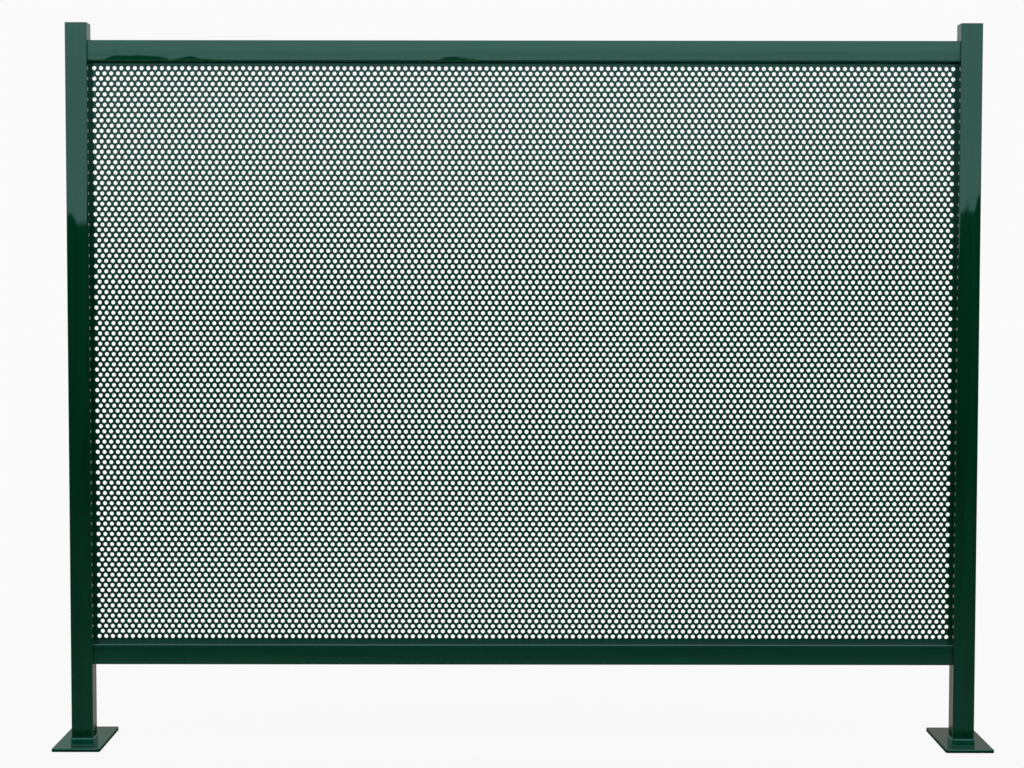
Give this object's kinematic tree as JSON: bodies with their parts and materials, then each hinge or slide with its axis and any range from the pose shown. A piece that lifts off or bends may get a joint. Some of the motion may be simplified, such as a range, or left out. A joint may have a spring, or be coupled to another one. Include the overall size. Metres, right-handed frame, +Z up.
{
  "type": "perforated metal fence panel",
  "caption": "Free-standing fence bay: square tube posts on base plates, two rails and a staggered round-hole perforated steel sheet, powder coated dark green.",
  "frame": {"origin": "on the underside of the left base plate, on the axis of the left post", "axes": "+X along the bay towards the right post, +Y to the back, +Z up; the front is seen from -Y"},
  "size_m": [2.184, 0.24, 1.68],
  "materials": {
    "green_powder_coat": "gloss powder coat, dark moss green"
  },
  "bodies": {
    "root": {"left_base_plate": "green_powder_coat", "right_base_plate": "green_powder_coat", "left_foot_collar": "green_powder_coat", "right_foot_collar": "green_powder_coat", "left_post": "green_powder_coat", "right_post": "green_powder_coat", "left_post_cap": "green_powder_coat", "right_post_cap": "green_powder_coat", "top_rail": "green_powder_coat", "bottom_rail": "green_powder_coat", "perforated_sheet": "green_powder_coat"}
  },
  "joints": []
}
